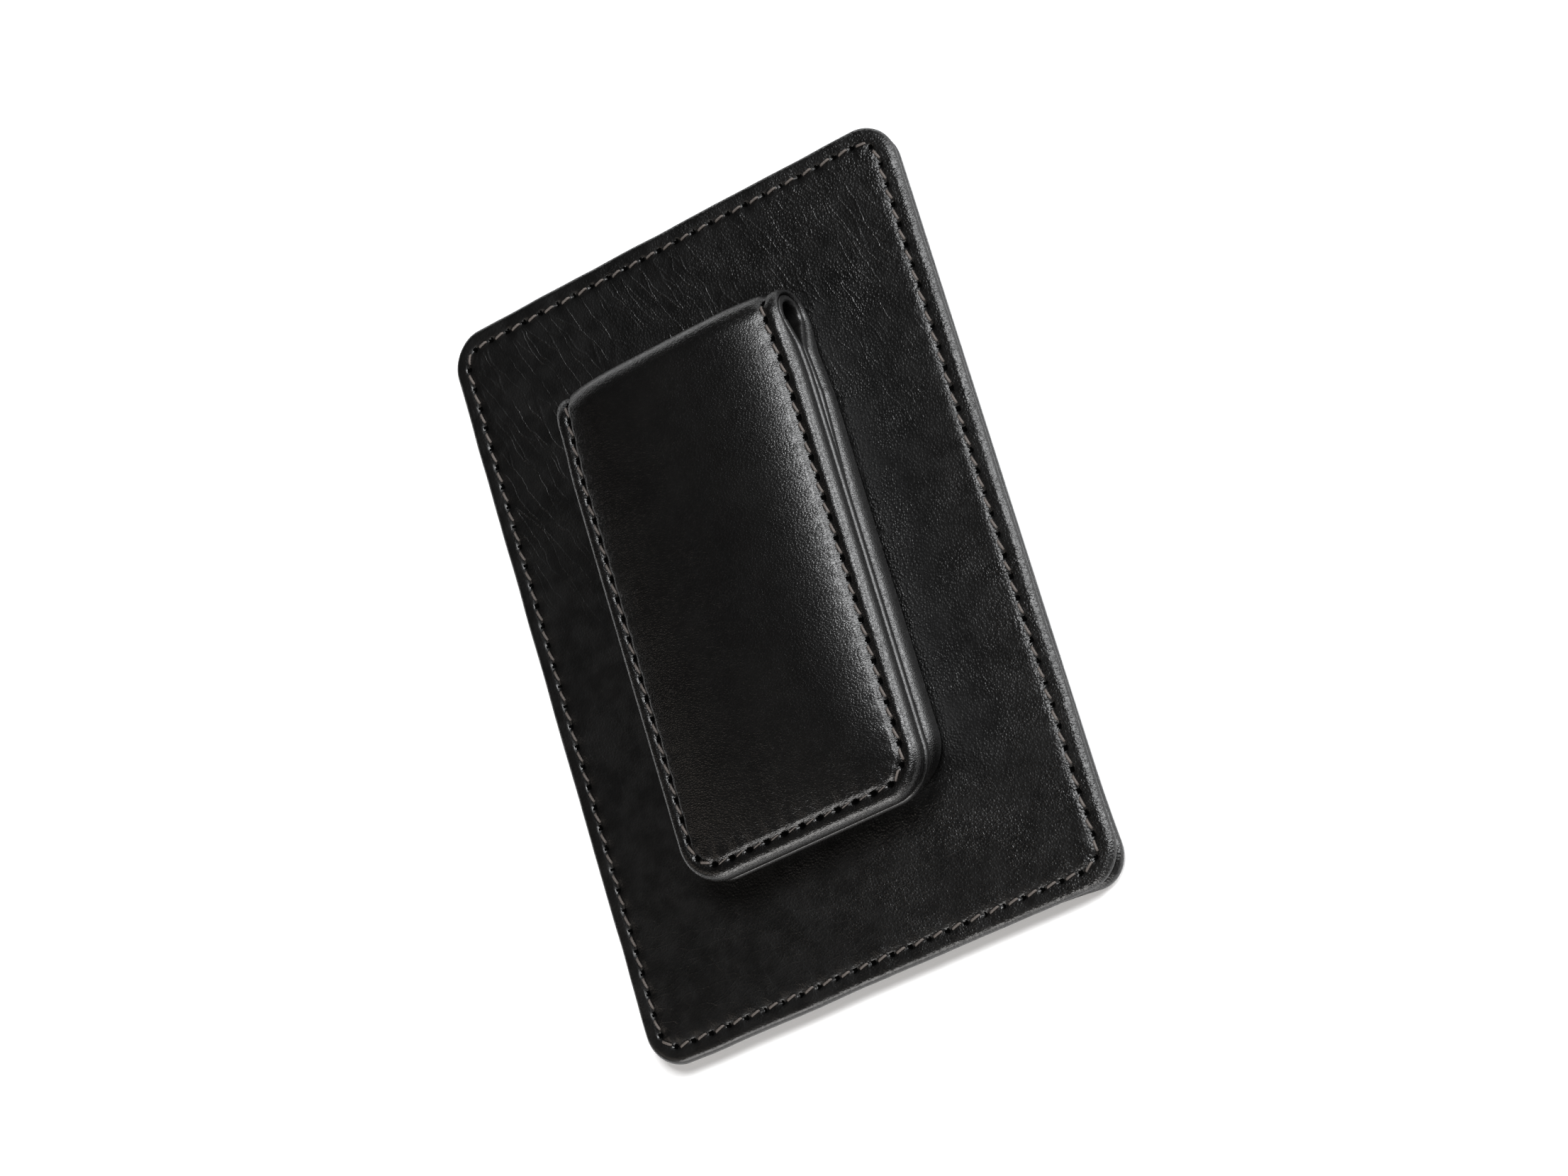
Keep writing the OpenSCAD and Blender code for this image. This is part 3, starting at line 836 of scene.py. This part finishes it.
def lining_leaf(name, end, upper, body, node):
    """Lining leather of one leaf: a thin sheet whose edges are rolled to a bead."""
    leaf = Leaf(LINING_W, end - LINING_OUT, CLIP_R + LINING_OUT, LINING_CUT, CLIP_SEAM + LINING_OUT, 0.4)
    profile = lining_profile(leaf.w / 2)
    pitch = even_pitch(leaf.length, CLIP_PITCH)
    side = 1 if upper else -1
    verts = []
    for d, share in profile:
        line = leaf.line(d)
        x, y = line[:, 0], line[:, 1]
        inner = opening(y, LOOP_R - LOOP_LINING, GAP / 2)
        outer = opening(y, LOOP_R, GAP / 2 + LINING_T)
        height = inner + (outer - inner) * share
        if share == 0.0:
            relief = seam_relief(d - CLIP_SEAM - LINING_OUT, leaf.station, pitch, 0.5, 0.2, 0.2, 0.01)
            height = height - relief * (1 - smooth(y, 25.0, 28.0)) * smooth(d, 0.5, 1.2)
        narrow = fold_narrowing(y) if upper else base_narrowing(y)
        if not upper:  # set back inside the turned edge
            inside = SET_BACK * (1 - smooth(y, *TURN_FADES)) * (1 - smooth(d, 2.0, 6.0))
            x = x - np.sign(x) * np.minimum(inside, np.abs(x)) * smooth(np.abs(x), 8.0, 15.0)
            y = y + inside * (1 - smooth(y, end + 2.0, end + 6.0))
        verts.append(np.column_stack([x * narrow, y, MID_Z + side * height]))
    faces = grid_faces(len(profile), len(leaf.station))
    verts = np.concatenate(verts)
    first, faces = weld(verts, faces)
    if upper:
        faces = [f[::-1] for f in faces]
    obj = make_object(name, verts[first], faces, LINING_LEATHER, body)
    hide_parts(node)


def loop_lining():
    """Lining leather round the inside of the loop, between the two leaves' linings."""
    half = LINING_W / 2
    profile = lining_profile(half)
    across = [(-half + d, share) for d, share in profile]
    across += [(half - d, share) for d, share in profile[::-1][1:-1]]
    inner_r = LOOP_R - LOOP_LINING
    turns = [math.acos((LINING_CUT - LOOP_Y) / r) for r in (inner_r, LOOP_R)]
    steps = 48
    narrow = float(fold_narrowing(LINING_CUT + 1.5))
    verts = []
    for i in range(steps + 1):
        t = 1 - 2 * i / steps
        ends = [(r * math.cos(t * a), r * math.sin(t * a)) for r, a in zip((inner_r, LOOP_R), turns)]
        for x, share in across:
            (ya, za), (yb, zb) = ends
            y, z = LOOP_Y + ya + (yb - ya) * share, za + (zb - za) * share
            verts.append((x * narrow, y + sag(x, math.cos(t * turns[0])), MID_Z + z))
    faces = [f[::-1] for f in grid_faces(steps + 1, len(across), wrap_cols=True)]
    obj = make_object("loop_lining", verts, faces, LINING_LEATHER, "case",
                      ride=False)
    blend_at_fold(obj)
    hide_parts("fold_lining")


# ---------------------------------------------------------------- stitches
def stitch_mesh(length, radius, rings=14, sides=10, turns=2.2):
    """One stitch of two-ply thread along X."""
    verts = []
    for i in range(rings):
        t = -1 + 2 * i / (rings - 1)
        x = length / 2 * t
        slim = radius * (1 - 0.25 * t ** 4)
        for j in range(sides):
            a = 2 * math.pi * j / sides
            ply = 1 + 0.16 * math.cos(2 * (a - math.pi * turns * t))
            verts.append((x, slim * ply * math.cos(a), slim * ply * math.sin(a)))
    faces = [f[::-1] for f in grid_faces(rings, sides, wrap_cols=True)]
    faces += [tuple(range(sides)), tuple(reversed(range((rings - 1) * sides, rings * sides)))]
    return np.array(verts), faces


SLANT = math.radians(15)
STITCH, THREAD_R, RISE = 1.55, 0.17, 0.05  # length, thread's radius, how far the middle arches up
THREAD_LIFT, CASE_LIFT = -GROOVE + 0.12, -CASE_GROOVE + 0.10  # middle of the thread, from the face


def place_stitches(name, spots, body, node):
    """spots: (point, direction of travel, outward normal, thickness) of each stitch's middle."""
    base, base_faces = stitch_mesh(STITCH, 1.0)
    verts, faces, rest = [], [], []
    rng = np.random.default_rng(len(name) * 7 + len(spots))
    for k, (point, travel, normal, scale) in enumerate(spots):
        out = Vector(normal).normalized()
        ahead = Matrix.Rotation(SLANT + rng.normal(0, 0.03), 3, out) @ Vector(travel).normalized()
        aside = out.cross(ahead)
        t = 2 * base[:, 0] / STITCH
        along_it = base[:, 0] * (1 + rng.normal(0, 0.03))
        across = base[:, 1] * THREAD_R * scale
        height = base[:, 2] * THREAD_R * scale + RISE * (1 - np.abs(t) ** 3.5) - 0.32 * np.abs(t) ** 6
        moved = np.outer(along_it, ahead) + np.outer(across, aside) + np.outer(height, out)
        verts.append(moved + np.array(point))
        rest.append(base * (1, THREAD_R, THREAD_R) + np.array([k * 3.7, 0, 0]))
        offset = k * len(base)
        faces += [tuple(offset + v for v in f) for f in base_faces]
    obj = make_object(name, np.concatenate(verts), faces, THREAD, body, rest=np.concatenate(rest))
    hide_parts(node)


def along(points, station, s):
    """Point and direction at station s of a line given by points."""
    x, y = points[:, 0], points[:, 1]
    here, ahead, behind = [(np.interp(s + ds, station, x), np.interp(s + ds, station, y))
                           for ds in (0, 0.3, -0.3)]
    return here, (ahead[0] - behind[0], ahead[1] - behind[1])


def case_stitches(out, pitch, z, name, node, up):
    ring = out.ring(out.seam)
    points = np.vstack([ring, ring, ring])
    station = np.concatenate([out.station - out.length, out.station, out.station + out.length])
    spots = []
    for k in range(round(out.length / pitch)):
        (x, y), (dx, dy) = along(points, station, (k + 0.5) * pitch)
        spots.append(((x, y, z), (dx, dy, 0), (0, 0, up), 1.0))
    place_stitches(name, spots, "case", node)


def clip_stitches(leaf, pitch, z, name, node, body, up, d, over_fold=0):
    """Stitches of a leaf, with over_fold more on each side that go on over the fold."""
    line = leaf.line(d)
    spots = []
    count = round(leaf.length / pitch)
    end_from, end_to = sum(leaf.lengths[:2]), sum(leaf.lengths[:3])
    narrowing = base_narrowing if body == "case" else fold_narrowing
    for k in range(count - 1):
        s = (k + 1.0) * pitch
        (x, y), (dx, dy) = along(line, leaf.station, s)
        sunk = end_from - 1 < s < end_to + 1
        spots.append(((x * float(narrowing(y)), y, z + up * (0.05 if sunk else 0)), (dx, dy, 0), (0, 0, up),
                      0.5 if sunk else 1.0))
    straight = TIP - FOLD_R - ROOT
    for side in (-1, 1):
        for k in range(over_fold):
            s = k * pitch
            if s < straight:
                y, zz, normal = ROOT + s, z, (0, 0, 1)
            else:
                a = math.pi / 2 - (s - straight) / FOLD_R
                r = FOLD_R + z - FLAP_TOP
                y, zz = TIP - FOLD_R + r * math.cos(a), MID_Z + r * math.sin(a)
                normal = (0, math.cos(a), math.sin(a))
            travel = (0, side * normal[2], -side * normal[1])
            x = side * (leaf.w / 2 - d) * float(fold_narrowing(y))
            spots.append(((x, y, zz), travel, normal, 1.0))
    place_stitches(name, spots, body, node)


# ---------------------------------------------------------------- card pockets
def card_pocket(name, node, mouth, z, t=0.4):
    """Pocket leather with a thumb notch in its folded mouth."""
    w = CASE_W - 2 * BACK_INSET - 2 * FRAME_W - 0.1
    low = -(CASE_L / 2 - BACK_INSET - FRAME_W - 0.05)
    n = 140  # columns
    xs = np.linspace(-w / 2, w / 2, n)
    notch = 8.0  # radius of the thumb notch
    depth = np.where(np.abs(xs) < notch, np.sqrt(np.maximum(notch ** 2 - xs ** 2, 0)) - 2.0, 0)
    top = mouth - np.maximum(depth, 0)
    rows = [0.0, 0.25, 0.5, 0.8, 0.93, 0.965, 0.985, 0.995, 1.0]
    verts = []
    for side in (0, 1):
        for f in rows:
            y = low + (top - low) * f
            edge = t / 2 * (1 - math.sqrt(max(0.0, 1 - max(0.0, (f - 0.985) / 0.015) ** 2)))
            zz = z + edge if side == 0 else z + t - edge
            line = 0.06 * bell(f - 0.965, 0.006) if side == 0 else 0.0
            verts.append(np.column_stack([xs, y, np.full(n, zz + line)]))
    m = len(rows)
    faces = [f[::-1] for f in grid_faces(m, n)] + grid_faces(m, n, start=m * n)
    rim = []
    for j in range(n - 1):
        a, b = (m - 1) * n + j, (m - 1) * n + j + 1
        rim.append((a, b, b + m * n, a + m * n)[::-1])
        rim.append((j, j + 1, j + 1 + m * n, j + m * n))
    for i in range(m - 1):
        rim.append((i * n, (i + 1) * n, (i + 1) * n + m * n, i * n + m * n)[::-1])
        a, b = i * n + n - 1, (i + 1) * n + n - 1
        rim.append((a, b, b + m * n, a + m * n))
    obj = make_object(name, np.concatenate(verts), faces + rim, CASE_LEATHER, "case")
    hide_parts(node)


front, front_pitch = clip_side_panel()
back, back_pitch = pocket_side_panel()
case_stitches(front, front_pitch, FACE_Z + CASE_LIFT, "case_face_stitches", "case_face_thread", 1)
case_stitches(back, back_pitch, -CASE_LIFT, "case_back_stitches", "case_back_thread", -1)
card_pocket("inner_pocket_leather", "inner_card_pocket", 26.0, 0.5)
card_pocket("outer_pocket_leather", "outer_card_pocket", 12.0, 0.05)

flap_leaf, flap_pitch = strap_leather()
lining_leaf("flap_lining_leather", FLAP_END, True, "flap", "flap_lining")
lining_leaf("fixed_lining_leather", BASE_END, False, "case", "base_lining")
loop_lining()
clip_stitches(flap_leaf, flap_pitch, FLAP_TOP + THREAD_LIFT, "flap_face_stitches", "flap_face_thread",
              "flap", 1, CLIP_SEAM, over_fold=3)
clip_stitches(flap_leaf, flap_pitch, FLAP_TOP - LEAF_T - LINING_T + 0.1, "flap_back_stitches",
              "flap_back_thread", "flap", -1, CLIP_SEAM)
base_leaf = Leaf(CLIP_W, BASE_END, CLIP_R, ROOT, CLIP_SEAM)
base_pitch = even_pitch(base_leaf.length, CLIP_PITCH)
clip_stitches(base_leaf, base_pitch, FACE_Z + LEAF_T + LINING_T - 0.1, "fixed_leaf_stitches", "base_thread",
              "case", 1, CLIP_SEAM)

for entry in frame["record"]["subparts"]:
    if entry["material_slot"] in HIDDEN:
        mesh = frame["nodes"][entry["node"]].data
        mesh.materials.clear()
        mesh.materials.append(HIDDEN[entry["material_slot"]])


# ---------------------------------------------------------------- floor and lights
def floor():
    n = Nodes("floor")
    n.shader.inputs["Base Color"].default_value = (0.95, 0.95, 0.95, 1)
    n.shader.inputs["Roughness"].default_value = 0.9
    mesh = bpy.data.meshes.new("floor")
    s, z = 6.0, -0.0001  # metres: half its width, and just under the case
    mesh.from_pydata([(-s, -s, z), (s, -s, z), (s, s, z), (-s, s, z)], [], [(0, 1, 2, 3)])
    mesh.materials.append(n.material)
    obj = bpy.data.objects.new("floor", mesh)
    bpy.context.collection.objects.link(obj)


def area_light(name, place, size, power, colour, target=(0, 0, 0.005)):
    """Rectangular light; place and size are in metres, power in watts."""
    data = bpy.data.lights.new(name, "AREA")
    data.shape = "RECTANGLE"
    data.size, data.size_y = size
    data.energy = power
    data.color = colour
    obj = bpy.data.objects.new(name, data)
    obj.location = place
    obj.rotation_euler = (Vector(target) - Vector(place)).to_track_quat("-Z", "Y").to_euler()
    bpy.context.collection.objects.link(obj)


def lights():
    world = bpy.data.worlds.new("studio")
    world.use_nodes = True
    world.node_tree.nodes["Background"].inputs["Color"].default_value = (1, 1, 1, 1)
    world.node_tree.nodes["Background"].inputs["Strength"].default_value = 0.02
    bpy.context.scene.world = world
    area_light("key", (0.36, 0.26, 0.84), (0.38, 0.40), 9.5, (0.98, 0.99, 1.0))
    area_light("right", (0.92, 0.27, 0.38), (0.5, 0.7), 14, (0.98, 0.99, 1.0))
    area_light("front", (-0.50, -1.15, 0.62), (1.2, 0.7), 20, (1.0, 0.98, 0.96))
    area_light("left", (-0.78, -0.12, 0.62), (0.3, 0.3), 0.5, (1.0, 0.88, 0.78))


floor()
lights()
bpy.context.scene.view_settings.view_transform = "Standard"
